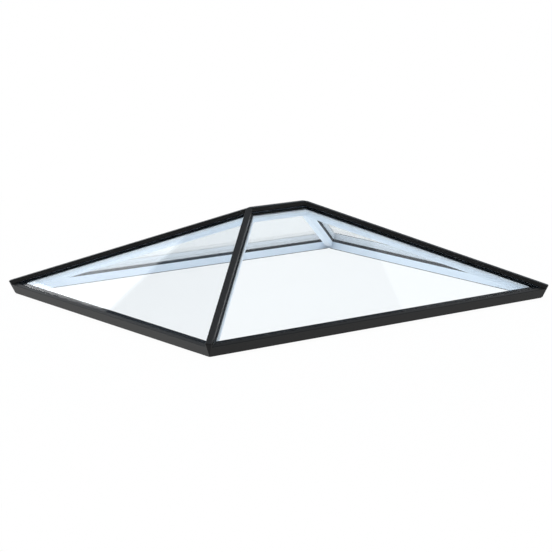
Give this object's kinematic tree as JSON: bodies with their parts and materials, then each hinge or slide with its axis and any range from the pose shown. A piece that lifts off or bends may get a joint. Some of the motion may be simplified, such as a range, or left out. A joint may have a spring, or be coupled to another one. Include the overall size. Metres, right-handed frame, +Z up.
{
  "type": "roof lantern",
  "caption": "Rectangular hipped glass roof lantern with a short ridge: black outside trims and caps, white inside bars and ring, for a kerb on a flat roof.",
  "frame": {"origin": "centre of the bounding box on plan, at the level of the trims' drip edges", "axes": "+X along the ridge and the long sides, +Z up, front long side at -Y"},
  "size_m": [1.8122, 1.5122, 0.402],
  "materials": {
    "black_powder_coat": "satin",
    "white_powder_coat": "satin",
    "clear_glass": "gloss",
    "black_rubber": "matte",
    "black_spacer": "matte",
    "white_tape": "matte"
  },
  "bodies": {
    "root": {"ring_beam_front": "white_powder_coat", "eaves_trim_front": "black_powder_coat", "eaves_gasket_front": "black_rubber", "outer_pane_front": "clear_glass", "inner_pane_front": "clear_glass", "spacer_front": "black_spacer", "ring_beam_right": "white_powder_coat", "eaves_trim_right": "black_powder_coat", "eaves_gasket_right": "black_rubber", "outer_pane_right": "clear_glass", "inner_pane_right": "clear_glass", "spacer_right": "black_spacer", "ring_beam_back": "white_powder_coat", "eaves_trim_back": "black_powder_coat", "eaves_gasket_back": "black_rubber", "outer_pane_back": "clear_glass", "inner_pane_back": "clear_glass", "spacer_back": "black_spacer", "ring_beam_left": "white_powder_coat", "eaves_trim_left": "black_powder_coat", "eaves_gasket_left": "black_rubber", "outer_pane_left": "clear_glass", "inner_pane_left": "clear_glass", "spacer_left": "black_spacer", "hip_rafter_front_left": "white_powder_coat", "hip_cap_front_left": "black_powder_coat", "hip_seal_front_left": "black_rubber", "corner_cover_front_left": "black_powder_coat", "hip_rafter_front_right": "white_powder_coat", "hip_cap_front_right": "black_powder_coat", "hip_seal_front_right": "black_rubber", "corner_cover_front_right": "black_powder_coat", "hip_rafter_back_right": "white_powder_coat", "hip_cap_back_right": "black_powder_coat", "hip_seal_back_right": "black_rubber", "corner_cover_back_right": "black_powder_coat", "hip_rafter_back_left": "white_powder_coat", "hip_cap_back_left": "black_powder_coat", "hip_seal_back_left": "black_rubber", "corner_cover_back_left": "black_powder_coat", "ridge_beam": "white_powder_coat", "ridge_cap": "black_powder_coat", "ridge_seal": "black_rubber", "glazing_tape": "white_tape"}
  },
  "joints": []
}
